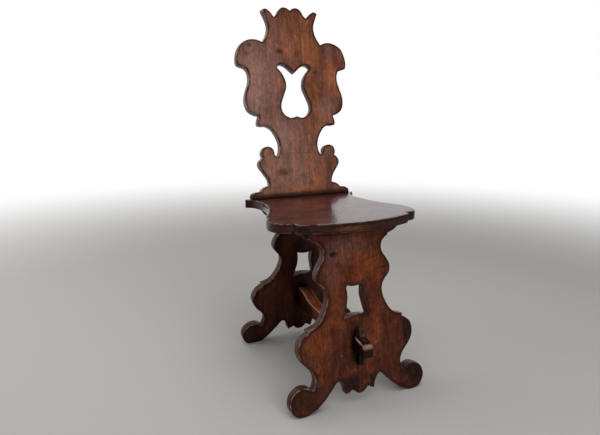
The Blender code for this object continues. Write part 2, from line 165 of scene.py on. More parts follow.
# Plain look of the walnut, which each piece's own look changes
PLAIN_LOOK = {
    "light": (0.165, 0.042, 0.0135),
    "mid": (0.083, 0.020, 0.008),
    "dark": (0.038, 0.008, 0.004),
    "dull": (0.052, 0.021, 0.014),
    "rim": (0.016, 0.005, 0.003),
    # Colour of rubbed arrises, which also paints the highlight along them
    "rubbed": (0.30, 0.18, 0.135),
    # Pale greyish colour of spots that paint a sheen on the wood
    "faded": (0.195, 0.110, 0.094),
    "pale": (0.42, 0.24, 0.12),
    "glint": (0.46, 0.34, 0.30),
    "brown": (0.12, 0.046, 0.020),
    # Colour of worn spots; on the tusks' noses it also paints a highlight
    "worn": (0.30, 0.16, 0.115),
    "black": (0.010, 0.004, 0.003),
    "glow": 0.6,
    "dulled": 0.5,
    "figure": 1.0,
    "face": (0.0, 0.0, 1.0),
    "edge_tone": 1.0,
    "seam": None,
    "rim_reach": 0.013,
    "rim_share": 0.8,
    "nook_reach": 0.018,
    "nook_share": 0.9,
    # Reach and share of the rubbed arrises and their painted highlight, less on the right and on downward
    # faces, and how evenly it runs
    "rub_reach": 0.0012,
    "rub_share": 0.7,
    "rub_right": 0.2,
    "rub_up": (-0.45, -0.1),
    "rub_even": 0.0,
    "roughness": 0.38,
    "mottle": 1.0,
    "polish": 0.10,
    "relief": 0.35,
    "shine": 0.13,
    "coat": 0.04,
    "coat_on_top": False,
    "coat_roughness": 0.25,
}

# Spots and stains are placed in millimetres, and flat ones go through a board
MILLIMETRES = 1000
SPOT_DEPTH = 60.0

# Studio floor and surround
FLOOR_RADIUS = 9.0
FLOOR_SIDES = 96
FLOOR_COLOUR = (0.40, 0.388, 0.372, 1.0)
FLOOR_ROUGHNESS = 0.7
FLOOR_FADE = (1.2, 3.6)
REAR_FLOOR_FADE = (0.7, 1.5)
WHITE = (1.0, 1.0, 1.0, 1.0)
SURROUND_COLOUR = (1.0, 0.99, 0.98, 1.0)
SURROUND_LIGHT = 0.14
REAR_FADE = (-0.5, 0.3)
FRONT_WHITE = 0.2

# Studio lamps: name, place, aim, width and power
LAMPS = (
    ("ceiling_lamp", (0.1, -0.6, 2.8), (0.0, 0.0, 0.4), 2.4, 49.0),
    ("front_lamp", (0.35, -2.5, 1.3), (0.0, 0.0, 0.6), 1.2, 25.0),
    ("window_lamp", (-2.3, 0.7, 1.5), (0.0, 0.0, 0.5), 1.6, 30.0),
    ("rear_lamp", (-1.1, 2.6, 2.2), (0.0, 0.0, 0.5), 1.6, 22.0),
)

# Camera, placed from the middle of the seat's front edge, for an image of 600 by 435
CAMERA_PLACE = Vector((-0.5507, -0.9206, 0.7212))
CAMERA_YAW = math.radians(23.082)
CAMERA_PITCH = math.radians(-13.283)
CAMERA_ROLL = math.radians(-0.037)
CAMERA_LENS = 28.414
CAMERA_SENSOR = 36.0

# Sockets of a colour mix
MIX_SHARE = 0
MIX_UNDER = 6
MIX_OVER = 7
MIX_MADE = 2


# Node helpers

def feed(tree, socket, value):
    """Links a socket to another, or sets it to a plain value."""
    if isinstance(value, bpy.types.NodeSocket):
        tree.links.new(value, socket)
    else:
        socket.default_value = value


def put(tree, kind, values=None, **settings):
    """New node with its settings and its named or numbered inputs."""
    made = tree.nodes.new(kind)
    for key, value in settings.items():
        setattr(made, key, value)
    for key, value in (values or {}).items():
        feed(tree, made.inputs[key], value)
    return made


def reckon(tree, operation, first, second=0.0):
    """Sum, product or other arithmetic of two numbers."""
    return put(tree, "ShaderNodeMath", {0: first, 1: second}, operation=operation).outputs[0]


def times(tree, first, *others):
    """Product of numbers."""
    for other in others:
        first = reckon(tree, "MULTIPLY", first, other)
    return first


def reckon_places(tree, operation, first, second):
    """Sum, product or other arithmetic of two places."""
    return put(tree, "ShaderNodeVectorMath", {0: first, 1: second}, operation=operation).outputs[0]


def length_of(tree, place):
    """Distance of a place from the origin."""
    return put(tree, "ShaderNodeVectorMath", {0: place}, operation="LENGTH").outputs["Value"]


def part_of(tree, place, axis):
    """One coordinate of a place or direction."""
    return put(tree, "ShaderNodeSeparateXYZ", {0: place}).outputs[axis]


def ease_between(tree, value, low, high, first, last):
    """Smooth step from a first value at low to a last one at high."""
    values = {"Value": value, "From Min": low, "From Max": high, "To Min": first, "To Max": last}
    return put(tree, "ShaderNodeMapRange", values, interpolation_type="SMOOTHSTEP").outputs[0]


def ease(tree, value, low, high):
    """Smooth step from 0 at low to 1 at high, which may be the smaller of the two."""
    if low > high:
        return reckon(tree, "SUBTRACT", 1.0, ease(tree, value, high, low))
    return ease_between(tree, value, low, high, 0.0, 1.0)


def eased_share(tree, value, low, high, strength):
    """Smooth step from 0 at low to a strength at high."""
    return times(tree, ease(tree, value, low, high), strength)


def swing(tree, value, reach):
    """Factor round one that falls as a value between 0 and 1 rises past one half."""
    made = put(tree, "ShaderNodeMath", {0: value, 1: -2 * reach, 2: 1 + reach}, operation="MULTIPLY_ADD")
    return made.outputs[0]


def off_middle(tree, value, reach):
    """How far a value lies from one half, times a reach."""
    return times(tree, reckon(tree, "SUBTRACT", value, 0.5), reach)


def tint(tree, share, under, over):
    """Colour laid over another by a share."""
    values = {MIX_SHARE: share, MIX_UNDER: under, MIX_OVER: over}
    return put(tree, "ShaderNodeMix", values, data_type="RGBA").outputs[MIX_MADE]


def drawn_out(tree, place, share):
    """Place squeezed along the grain, so that what is drawn on it runs long."""
    return reckon_places(tree, "MULTIPLY", place, (1.0, 1.0, share))


def cloud(tree, place, share, scale, detail, roughness):
    """Noise around one half, drawn out along the grain."""
    place = drawn_out(tree, place, share)
    values = {"Vector": place, "Scale": scale, "Detail": detail, "Roughness": roughness}
    return put(tree, "ShaderNodeTexNoise", values).outputs[0]


# Boards as they were sawn

def merged_copy(node):
    """The node's solid as welded faces, each flat face whole."""
    solid = bmesh.new()
    solid.from_mesh(node.data)
    bmesh.ops.remove_doubles(solid, verts=solid.verts, dist=MERGE)
    bmesh.ops.dissolve_limit(solid, angle_limit=FLAT, verts=solid.verts, edges=solid.edges)
    solid.normal_update()
    return solid


def board_normal(solid):
    """Direction out of the broadest face."""
    return max(solid.faces, key=lambda face: face.calc_area()).normal.copy()


def outer_planes(solid, normal):
    """Distances of the two broad faces along the normal."""
    reach = [vertex.co.dot(normal) for vertex in solid.verts]
    return min(reach), max(reach)


def board_of(node, height):
    """Lean of an upright board, and the point of its front face at a height on the middle line."""
    solid = merged_copy(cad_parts[node])
    normal = board_normal(solid)
    if normal.y > 0:
        normal.negate()
    reach = outer_planes(solid, normal)[1]
    solid.free()
    return math.atan2(normal.z, -normal.y), Vector((0.0, (reach - normal.z * height) / normal.y, height))


def board_face(lean):
    """Direction out of the front of an upright board."""
    return (0.0, -math.cos(lean), math.sin(lean))


def is_broad(face, normal, planes):
    """Whether a face lies in one of the two broad planes."""
    if abs(face.normal.dot(normal)) < BROAD:
        return False
    reach = face.calc_center_median().dot(normal)
    return min(abs(reach - plane) for plane in planes) < PLANE_STEP


def is_flat(edge):
    """Whether an edge only splits a flat face, as round a hole."""
    return edge.calc_face_angle(math.pi) < FLAT


def runs_of(edges):
    """Edges gathered into connected runs."""
    left = set(edges)
    runs = []
    while left:
        run = set()
        front = [left.pop()]
        while front:
            edge = front.pop()
            run.add(edge)
            linked = [e for vertex in edge.verts for e in vertex.link_edges if e in left]
            left.difference_update(linked)
            front.extend(linked)
        runs.append(run)
    return runs


def plank_arrises(solid, normal, planes, low, high):
    """Edges where a broad face meets the sawn edge, between two heights and not round a mortise."""
    found = []
    for edge in solid.edges:
        broad = [face for face in edge.link_faces if is_broad(face, normal, planes)]
        if len(broad) == 1 and edge.calc_face_angle(0.0) > SHARP:
            found.append(edge)
    kept = set()
    for run in runs_of(found):
        if len(run) >= PIERCING_EDGES:
            heights = [(edge, [vertex.co.z for vertex in edge.verts]) for edge in run]
            kept.update(edge for edge, z in heights if max(z) > low and min(z) < high)
    return [edge for edge in found if edge in kept]


def samples_along(edges):
    """Points spaced along edges."""
    points = []
    for edge in edges:
        start, end = (vertex.co for vertex in edge.verts)
        steps = max(1, math.ceil((end - start).length / ARRIS_SAMPLE))
        points.extend(start.lerp(end, i / steps) for i in range(steps + 1))
    return points


def tree_of(points):
    """Nearest-point search over points."""
    search = KDTree(len(points))
    for i, point in enumerate(points):
        search.insert(point, i)
    search.balance()
    return search


# Rounded arrises

def sunk(radius, turn):
    """How far a point of a rounded arris lies below its own flat face."""
    return radius * (1 - math.cos(turn))


def set_back(radius, turn):
    """How far a point of a rounded arris lies from the plane of the next face."""
    return radius * (1 - math.sin(turn))


def split(edge, shares):
    """Cuts an edge at shares of its length; gives the new points and the parts, both in order."""
    near, last = edge.verts
    start, finish = near.co.copy(), last.co.copy()
    points = []
    parts = []
    for share in shares:
        other, near = bmesh.utils.edge_split(edge, near, 0.5)
        near.co = start.lerp(finish, share)
        done, edge = (other, edge) if last in edge.verts else (edge, other)
        points.append(near)
        parts.append(done)
    return points, parts + [edge]


def flat_regions(solid):
    """Faces gathered into whole flat regions."""
    left = dict.fromkeys(solid.faces)
    regions = []
    while left:
        region = [next(iter(left))]
        left.pop(region[0])
        for face in region:
            seams = [edge for edge in face.edges if is_flat(edge)]
            near = [other for edge in seams for other in edge.link_faces if other in left]
            for other in dict.fromkeys(near):
                left.pop(other)
                region.append(other)
        regions.append(region)
    return regions


def rim_walks(faces):
    """Corner loops along the rims of a flat region, with the region on their left, rim after rim."""
    inside = set(faces)
    ahead = {loop.vert: loop for face in faces for loop in face.loops
             if loop.link_loop_radial_next.face not in inside}
    while ahead:
        walk = [ahead.pop(next(iter(ahead)))]
        while walk[-1].link_loop_next.vert in ahead:
            walk.append(ahead.pop(walk[-1].link_loop_next.vert))
        yield walk


def left_of(triangles, rims):
    """Triangles that rims which run with the region on their left enclose."""
    owners = {(corner[i - 1], corner[i]): corner for corner in triangles for i in range(3)}
    kept = dict.fromkeys(owners[rim] for rim in rims)
    front = list(kept)
    while front:
        corner = front.pop()
        for i in range(3):
            other = owners.get((corner[i], corner[i - 1]))
            if (corner[i - 1], corner[i]) not in rims and other not in kept:
                kept[other] = None
                front.append(other)
    return list(kept)


def row_points(rims, normal, arrises, radius, rim_search):
    """Places of the rows of points beside rounded arrises, each with its depth below the flat face."""
    for loop in rims:
        if loop.edge in arrises:
            start, end = loop.vert.co, loop.link_loop_next.vert.co
            inward = normal.cross(end - start).normalized()
            for turn in ROW_TURNS:
                place = (start + end) / 2 + inward * set_back(radius, turn)
                if rim_search.find(place)[2] > set_back(radius, turn) * ROW_MARGIN:
                    yield place, sunk(radius, turn)


def net_points(flat, spacing):
    """Points of an even net over the reach of flat points, every other row shifted by half a step."""
    low = Vector((min(p.x for p in flat), min(p.y for p in flat)))
    high = Vector((max(p.x for p in flat), max(p.y for p in flat)))
    for row in range(math.ceil((high.y - low.y) / spacing)):
        shift = spacing / 2 if row % 2 else 0.0
        for column in range(math.ceil((high.x - low.x) / spacing)):
            yield Vector((low.x + shift + column * spacing, low.y + row * spacing))


def refill(solid, faces, spacing, arrises, radius):
    """Flat region rebuilt as an even net of small triangles, with rows of points beside its arrises."""
    normal = faces[0].normal.copy()
    across = normal.orthogonal().normalized()
    along = normal.cross(across)
    level = normal * faces[0].verts[0].co.dot(normal)

    def flattened(place):
        return Vector((place.dot(across), place.dot(along)))

    def raised(point):
        return across * point.x + along * point.y + level

    rims = []
    links = []
    for walk in rim_walks(faces):
        links += [(len(rims) + i, len(rims) + (i + 1) % len(walk)) for i in range(len(walk))]
        rims += walk
    corners = [loop.vert for loop in rims]
    rim_search = tree_of(samples_along([loop.edge for loop in rims]))
    flat = [flattened(vertex.co) for vertex in corners]
    depths = [0.0] * len(corners)
    for i, following in links[1::2]:
        step = flat[following] - flat[i]
        flat[i] += Vector((-step.y, step.x)).normalized() * NUDGE
    for place, depth in row_points(rims, normal, arrises, radius, rim_search):
        flat.append(flattened(place))
        depths.append(depth)
    net = [p for p in net_points(flat, spacing) if rim_search.find(raised(p))[2] > spacing * NET_MARGIN]
    flat += net
    depths += [0.0] * len(net)
    _, _, triangles, origins, _, _ = delaunay_2d_cdt(flat, links, [], 1, 0.0, True)
    triangles = left_of([tuple(origins[i][0] for i in corner) for corner in triangles], set(links))
    seams = {edge for face in faces for edge in face.edges if is_flat(edge)}
    for face in faces:
        solid.faces.remove(face)
    for edge in seams:
        solid.edges.remove(edge)
    made = dict(enumerate(corners))
    for i in sorted({i for corner in triangles for i in corner} - made.keys()):
        made[i] = solid.verts.new(raised(flat[i]) - normal * depths[i])
    for corner in triangles:
        solid.faces.new([made[i] for i in corner])


def outward(vertex):
    """Sum of the directions out of the sides that meet at a point, near ones taken as one."""
    sides = []
    for face in vertex.link_faces:
        near = next((side for side in sides if side.angle(face.normal, 0.0) < SHARP), None)
        if near is None:
            sides.append(face.normal.copy())
        else:
            near += face.normal
    return sum((side.normalized() for side in sides), Vector())


def soften(solid, arrises, radius, spacing):
    """Rounds arrises point by point over an even net of faces; gives the points of the old arrises."""
    points = samples_along(arrises)
    plain = [edge for edge in solid.edges if edge not in arrises and not is_flat(edge)]
    parts = []
    for edge in arrises:
        steps = math.ceil(edge.calc_length() / ARRIS_STEP)
        parts += split(edge, [i / steps for i in range(1, steps)])[1]
    turns = {vertex: ARRIS_TURN for part in parts for vertex in part.verts}
    rows = [set_back(radius, turn) for turn in ROW_TURNS]
    for edge in plain:
        length = edge.calc_length()
        first, last = (rows if vertex in turns else [] for vertex in edge.verts)
        start, finish = sum(first[-1:]), length - sum(last[-1:])
        if finish - start < radius:
            continue
        steps = math.ceil((finish - start) / spacing)
        middle = [start + (finish - start) * i / steps for i in range(1, steps)]
        places = first + middle + [length - depth for depth in reversed(last)]
        made = split(edge, [place / length for place in places])[0]
        ends = (made[:1] if first else []) + (made[-1:] if last else [])
        turns.update({vertex: ROW_TURNS[0] for vertex in ends})
    for faces in flat_regions(solid):
        refill(solid, faces, spacing, set(parts), radius)
    solid.normal_update()
    moves = [(vertex, outward(vertex) * sunk(radius, turn)) for vertex, turn in turns.items()]
    for vertex, move in moves:
        vertex.co -= move
    solid.normal_update()
    return points


def round_plank(node, radius, spacing, low, high):
    """Plank with the arrises of its outline and piercings rounded, and the points of its old arrises."""
    solid = merged_copy(node)
    normal = board_normal(solid)
    arrises = plank_arrises(solid, normal, outer_planes(solid, normal), low, high)
    return solid, soften(solid, arrises, radius, spacing)


def round_block(node, radius, spacing):
    """Small solid with all its outer edges rounded, and the points of its old arrises."""
    solid = merged_copy(node)
    arrises = [edge for edge in solid.edges if edge.calc_face_angle_signed(0.0) > SHARP]
    return solid, soften(solid, arrises, radius, spacing)


# Wear in the shape

def mark(solid, name, measure):
    """Stores a distance at each point, such as that from the nearest arris or joint."""
    layer = solid.verts.layers.float.new(name)
    for vertex in solid.verts:
        vertex[layer] = min(max(measure(vertex.co), 0.0), FAR)


def bruise(solid, bruises):
    """Pushes in the surface round each bruise: its place, radius and depth."""
    for place, radius, depth in bruises:
        for vertex in solid.verts:
            share = max(1 - (vertex.co - place).length / radius, 0.0)
            vertex.co -= vertex.normal * depth * math.sin(share * math.pi / 2)


def worn_surface_tree():
    """Node tree that softens arrises unevenly and lets flat faces wander a little."""
    tree = bpy.data.node_groups.new("worn_surface", "GeometryNodeTree")
    face = tree.interface
    face.new_socket("Board", in_out="INPUT", socket_type="NodeSocketGeometry")
    for name in ("Arris wear", "Arris reach", "Wear length", "Unevenness", "Wander length", "Seed"):
        face.new_socket(name, in_out="INPUT", socket_type="NodeSocketFloat")
    face.new_socket("Finish", in_out="INPUT", socket_type="NodeSocketMaterial")
    face.new_socket("Board", in_out="OUTPUT", socket_type="NodeSocketGeometry")
    given = put(tree, "NodeGroupInput").outputs
    place = put(tree, "GeometryNodeInputPosition").outputs[0]
    normal = put(tree, "GeometryNodeInputNormal").outputs[0]
    named = put(tree, "GeometryNodeInputNamedAttribute", {"Name": "arris"}, data_type="FLOAT")
    near = reckon(tree, "SUBTRACT", 1.0, reckon(tree, "DIVIDE", named.outputs[0], given["Arris reach"]))
    near = reckon(tree, "MAXIMUM", near, 0.0)

    def wander(length, detail):
        scale = reckon(tree, "DIVIDE", 1.0, length)
        values = {"Vector": place, "W": given["Seed"], "Scale": scale, "Detail": detail}
        return put(tree, "ShaderNodeTexNoise", values, noise_dimensions="4D").outputs[0]

    bite = ease(tree, wander(given["Wear length"], WEAR_DETAIL), *WEAR_STEP)
    bite = times(tree, bite, near, given["Arris wear"])
    swell = off_middle(tree, wander(given["Wander length"], WANDER_DETAIL), given["Unevenness"])
    rise = reckon(tree, "SUBTRACT", swell, bite)
    shift = put(tree, "ShaderNodeVectorMath", {0: normal, "Scale": rise}, operation="SCALE").outputs[0]
    moved = put(tree, "GeometryNodeSetPosition", {"Geometry": given["Board"], "Offset": shift})
    whole = put(tree, "GeometryNodeRealizeInstances", {"Geometry": moved.outputs[0]})
    values = {"Geometry": whole.outputs[0], "Material": given["Finish"]}
    dressed = put(tree, "GeometryNodeSetMaterial", values)
    put(tree, "NodeGroupOutput", {"Board": dressed.outputs[0]})
    return tree


WORN_SURFACE = worn_surface_tree()


def worn(seed, arris_wear, unevenness):
    """Wear of one piece."""
    return {"Arris wear": arris_wear, "Arris reach": ARRIS_REACH, "Wear length": WEAR_LENGTH,
            "Unevenness": unevenness, "Wander length": WANDER_LENGTH, "Seed": seed}


def finished(name, solid, material, wear):
    """Worn piece made from a solid, as a plain mesh with one material."""
    mesh = bpy.data.meshes.new(name)
    solid.to_mesh(mesh)
    solid.free()
    piece = bpy.data.objects.new(name, mesh)
    bpy.context.scene.collection.objects.link(piece)
    step = piece.modifiers.new("worn_surface", "NODES")
    step.node_group = WORN_SURFACE
    for item in WORN_SURFACE.interface.items_tree:
        if item.in_out == "INPUT" and item.name in wear:
            step[item.identifier] = wear[item.name]
        elif item.in_out == "INPUT" and item.name == "Finish":
            step[item.identifier] = material
    mesh.shade_smooth()
    mesh.set_sharp_from_angle(angle=SMOOTH)
    weighed = piece.modifiers.new("flat_faces_first", "WEIGHTED_NORMAL")
    weighed.keep_sharp = True
    bpy.context.view_layer.update()
    evaluated = piece.evaluated_get(bpy.context.evaluated_depsgraph_get())
    piece.data = bpy.data.meshes.new_from_object(evaluated)
    piece.modifiers.clear()
    bpy.data.meshes.remove(mesh)
    piece.data.name = name
    return piece


# Walnut

def drifting(tree, board, scale, reach):
    """Place on a board that strays smoothly from its true one."""
    values = {"Vector": drawn_out(tree, board, DRIFT_SHARE), "Scale": scale}
    drift = put(tree, "ShaderNodeTexNoise", values).outputs[1]
    drift = reckon_places(tree, "SUBTRACT", drift, (0.5, 0.5, 0.5))
    values = {0: drift, 1: (reach, reach, reach), 2: board}
    return put(tree, "ShaderNodeVectorMath", values, operation="MULTIPLY_ADD").outputs[0]


def wood_patterns(tree, look):
    """Places on a piece, its marks of wear and of painted shade, and the patterns that its finish is made
    of.
    """
    texture = put(tree, "ShaderNodeTexCoord").outputs
    turned = {"Vector": texture["Object"], "Rotation": look["grain"], "Location": look["offset"]}
    board = put(tree, "ShaderNodeMapping", turned).outputs[0]
    grown = drifting(tree, board, *GRAIN_DRIFT)
    wood = {"place": texture["Object"], "normal": texture["Normal"], "board": board}
    for name, pattern in GROWN_PATTERNS.items():
        wood[name] = cloud(tree, grown, *pattern)
    for name, pattern in SETTLED_PATTERNS.items():
        wood[name] = cloud(tree, board, *pattern)
    wood["pores"] = ease(tree, wood["pores"], *PORE_STEP)
    for name in ("arris", "nook"):
        wood[name] = put(tree, "ShaderNodeAttribute", attribute_name=name).outputs["Fac"]
    return wood


def colour_of(look, key):
    """One of a look's colours, as a socket takes it."""
    return (*look[key], 1.0)


def spot_share(tree, place, centre, size):
    """Share of a soft spot of three half sizes about a centre."""
    away = reckon_places(tree, "SUBTRACT", place, centre)
    away = reckon_places(tree, "DIVIDE", away, size)
    return ease(tree, length_of(tree, away), *SPOT_FADE)


def grown_colour(tree, look, wood):
    """Colour of the wood, with its bands, patches and ragged spots, some of which are a painted sheen."""
    bands = ease(tree, wood["bands"], *BAND_STEP)
    colour = tint(tree, bands, colour_of(look, "dark"), colour_of(look, "mid"))
    glow = eased_share(tree, wood["patches"], *GLOW_STEP, look["glow"])
    colour = tint(tree, glow, colour, colour_of(look, "light"))
    dulled = eased_share(tree, wood["stains"], *DULL_STEP, look["dulled"])
    colour = tint(tree, dulled, colour, colour_of(look, "dull"))
    ragged = ease(tree, wood["smears"], *RAGGED_STEP)
    strayed = drifting(tree, wood["board"], *SPOT_DRIFT)
    for centre, size, strength, key in look["spots"]:
        spot = times(tree, spot_share(tree, strayed, centre, size), ragged, strength)
        colour = tint(tree, spot, colour, colour_of(look, key))
    return colour


def seamed(tree, look, wood, colour):
    """Colour with a fine dark line along the grain and a changed strip beyond it, where a look has one."""
    if look["seam"] is None:
        return colour
    seam, strength, key = look["seam"]
    from_seam = reckon(tree, "SUBTRACT", part_of(tree, wood["board"], "X"), seam)
    beyond = ease(tree, from_seam, -SEAM_EDGE, SEAM_EDGE)
    beyond = times(tree, beyond, ease(tree, from_seam, *SEAM_FADE))
    beyond = times(tree, beyond, eased_share(tree, wood["patches"], *SEAM_STEP, strength))
    colour = tint(tree, beyond, colour, colour_of(look, key))
    line = eased_share(tree, reckon(tree, "ABSOLUTE", from_seam), *SEAM_LINE, strength)
    return tint(tree, line, colour, colour_of(look, "dark"))


def figured(tree, look, wood, colour):
    """Colour made lighter and darker by the figure of the wood, and darker on the sawn edges, which on the
    stretcher is painted shade on its sides.
    """
    values = {0: wood["normal"], 1: look["face"]}
    facing = put(tree, "ShaderNodeVectorMath", values, operation="DOT_PRODUCT").outputs["Value"]
    facing = reckon(tree, "ABSOLUTE", facing)
    swings = [swing(tree, wood[name], reach * look["figure"]) for name, reach in FIGURE_SWINGS.items()]
    swings.append(swing(tree, wood["pores"], PORE_SWING))
    swings.append(ease_between(tree, facing, *EDGE_FACING, look["edge_tone"], 1.0))
    values = {0: colour, "Scale": times(tree, *swings)}
    return put(tree, "ShaderNodeVectorMath", values, operation="SCALE").outputs[0]


def rubbed_share(tree, look, wood):
    """Share of rubbed wood and painted highlight along the arrises, the most on the left where the light
    falls, and none in the joints.
    """
    return times(
        tree,
        reckon(tree, "MAXIMUM", ease(tree, wood["smears"], *RUB_STEP), look["rub_even"]),
        eased_share(tree, wood["arris"], look["rub_reach"], 0.0, look["rub_share"]),
        ease_between(tree, part_of(tree, wood["place"], "X"), *RUB_SIDES, 1.0, look["rub_right"]),
        ease(tree, part_of(tree, wood["normal"], "Z"), *look["rub_up"]),
        ease(tree, wood["nook"], *RUB_CLEAR))


def handled(tree, look, wood, colour):
    """Colour with dark rims, dirt and painted shade at the joints, rubbed arrises with a painted highlight,
    and stains, painted shade, painted light and painted highlights laid over it.
    """
    ragged = off_middle(tree, wood["stains"], look["rim_reach"])
    from_arris = reckon(tree, "ADD", wood["arris"], ragged)
    rim = eased_share(tree, from_arris, look["rim_reach"], 0.0, look["rim_share"])
    colour = tint(tree, rim, colour, colour_of(look, "rim"))
    # Darker towards the joints: dirt, and painted shade under the seat, round the keys and tusks, and where
    # the back stands on the seat
    from_joint = reckon(tree, "ADD", wood["nook"], ragged)
    reach = look["nook_reach"]
    dirt = eased_share(tree, from_joint, reach, reach * NOOK_CORE, look["nook_share"])
    colour = tint(tree, dirt, colour, colour_of(look, "rim"))
    # Rubbed arrises, partly a painted highlight on their rounding
    colour = tint(tree, rubbed_share(tree, look, wood), colour, colour_of(look, "rubbed"))
    for centre, size, strength, key in look["stains"]:
        stain = times(tree, spot_share(tree, wood["board"], centre, size), strength)
        colour = tint(tree, stain, colour, colour_of(look, key))
    return colour


def wax(tree, look, wood, shader):
    """Sets the gloss, the fine relief and the coat of a waxed surface."""
    streaked = off_middle(tree, wood["streaks"], STREAK_GLOSS)
    smeared = off_middle(tree, wood["smears"], SMEAR_GLOSS)
    gloss = times(tree, reckon(tree, "ADD", streaked, smeared), look["mottle"])
    polish = eased_share(tree, wood["arris"], POLISH_REACH, 0.0, look["polish"])
    gloss = reckon(tree, "SUBTRACT", gloss, polish)
    feed(tree, shader.inputs["Roughness"], reckon(tree, "ADD", gloss, look["roughness"]))
    pits = times(tree, wood["pores"], PORE_PIT)
    height = reckon(tree, "SUBTRACT", times(tree, wood["fibres"], FIBRE_RIDGE), pits)
    height = reckon(tree, "ADD", height, wood["streaks"])
    values = {"Height": height, "Strength": look["relief"], "Distance": RELIEF_HEIGHT}
    feed(tree, shader.inputs["Normal"], put(tree, "ShaderNodeBump", values).outputs[0])
    shader.inputs["Specular IOR Level"].default_value = look["shine"]
    shader.inputs["Coat Roughness"].default_value = look["coat_roughness"]
    shader.inputs["Coat Weight"].default_value = look["coat"]
    if look["coat_on_top"]:
        upward = part_of(tree, wood["normal"], "Z")
        feed(tree, shader.inputs["Coat Weight"], eased_share(tree, upward, *TOP_FACING, look["coat"]))


def walnut(name, look):
    """Old waxed walnut: bands, streaks, fibres and pores along the grain, dark rims, rubbed arrises with a
    painted highlight, and painted sheen, light and shade where a look has them.
    """
    material = bpy.data.materials.new(name)
    material.use_nodes = True
    tree = material.node_tree
    shader = tree.nodes["Principled BSDF"]
    wood = wood_patterns(tree, look)
    colour = grown_colour(tree, look, wood)
    colour = seamed(tree, look, wood, colour)
    colour = figured(tree, look, wood, colour)
    colour = handled(tree, look, wood, colour)
    feed(tree, shader.inputs["Base Color"], colour)
    wax(tree, look, wood, shader)
    return material


def wood_look(grain, offset, foot=(0.0, 0.0, 0.0), spots=(), stains=(), **changes):
    """Look of a piece: the turn and shift of its grain, its spots and stains, among them painted sheen,
    light, shade and highlights, and what else is its own.

    Spots and stains are placed in millimetres across, through and along the grain from a foot.
    """
    start = Euler(grain).to_matrix() @ Vector(foot) + Vector(offset)

    def placed(marks):
        return [(start + Vector(place) / MILLIMETRES, Vector(size) / MILLIMETRES, strength, key)
                for place, size, strength, key in marks]

    own = {"grain": grain, "offset": offset, "spots": placed(spots), "stains": placed(stains)}
    return {**PLAIN_LOOK, **own, **changes}


def flat_spots(*spots):
    """Spots given as across, up, half width, half height, strength and colour, cut through a board."""
    return [((across, 0.0, up), (wide, SPOT_DEPTH, high), strength, key)
            for across, up, wide, high, strength, key in spots]


# Finish of the seat, with chips along its front edge

SEAT_CHIPS = [
    (Vector((-0.183, -0.170, SEAT_TOP)), 0.006),
    (Vector((-0.132, -0.204, SEAT_TOP)), 0.005),
    (Vector((-0.086, -0.209, SEAT_TOP)), 0.005),
    (Vector((-0.062, -0.211, SEAT_TOP)), 0.006),
]
CHIP_SPREAD = 1.2
SEAT_SPOTS = []
for chip, chip_radius in SEAT_CHIPS:
    chip_place = (0.0, chip.y * MILLIMETRES, chip.x * MILLIMETRES)
    SEAT_SPOTS.append((chip_place, (3, 3, CHIP_SPREAD * chip_radius * MILLIMETRES), 1.0, "pale"))
SEAT_SPOTS += [
    ((16.0, -211.0, -24.0), (12, 12, 80), 1.1, "brown"),
    ((14.0, -195.0, -150.0), (16, 30, 60), 1.6, "rim"),
]
SEAT_LOOK = wood_look(
    (0, -math.pi / 2, 0), (0.2, 0.1, 0.4), (0.0, 0.0, SEAT_TOP), SEAT_SPOTS,
    light=(0.080, 0.025, 0.017), mid=(0.049, 0.014, 0.011), dark=(0.027, 0.007, 0.005),
    rim=(0.013, 0.005, 0.004), rubbed=(0.26, 0.15, 0.10), glow=0.4, rub_share=0.5,
    roughness=0.24, mottle=0.8, relief=0.10, shine=0.2, coat=0.35, coat_on_top=True, coat_roughness=0.10)


# Finish of the back

BACK_LEAN, BACK_FOOT = board_of("back_board", SEAT_TOP)
# Spots on the back; the pale greyish ones are a painted sheen on its left and lower parts
BACK_SPOTS = flat_spots(
    (-140, 418, 40, 34, 0.7, "dark"),
    (110, 275, 38, 28, 0.9, "dull"),
    (62, 425, 40, 80, 0.5, "light"),
    (-22, 482, 16, 60, 0.55, "light"),
    (-125, 320, 60, 130, 0.5, "faded"),
    (-110, 320, 150, 280, 0.45, "faded"),
    (-92, 258, 50, 16, 0.6, "dull"),
    (-45, 180, 30, 60, 0.5, "faded"),
    (-20, 130, 170, 150, 0.42, "faded"),
    (-40, 40, 190, 90, 0.3, "faded"),
    (0, 490, 80, 60, 0.3, "dark"),
    (37, 170, 28, 48, 0.7, "dull"),
    (-100, 60, 70, 70, 0.25, "faded"),
    (44, 45, 26, 34, 0.75, "light"),
    (-13, 27, 70, 14, 0.75, "light"),
    (145, 400, 32, 34, 0.5, "dark"),
    (118, 345, 50, 90, 0.4, "light"),
    (95, 250, 50, 60, 0.3, "faded"))
# Stains on the back; the last one is painted shade on the askew left end of its foot
BACK_STAINS = flat_spots(
    (-41, 420, 19, 13, 0.75, "rim"),
    (-133, 435, 9, 8, 0.75, "rim"),
    (-142, 411, 13, 10, 0.5, "rim"),
    (67, 363, 13, 9, 0.6, "rim"),
    (-57, 74, 32, 16, 0.6, "rim"),
    (12, 127, 60, 1.4, 0.6, "rim"),
    (85, 216, 38, 1.4, 0.4, "rim"),
    (-25, 15, 70, 2.5, 0.5, "light"),
    (-158, 8, 13, 14, 0.8, "rim"))
# Painted shade on the downward face inside the tip of the right tulip petal
PETAL_TIP_STAIN = ((43.0, 14.0, 372.0), (9, 14, 9), 1.2, "rim")
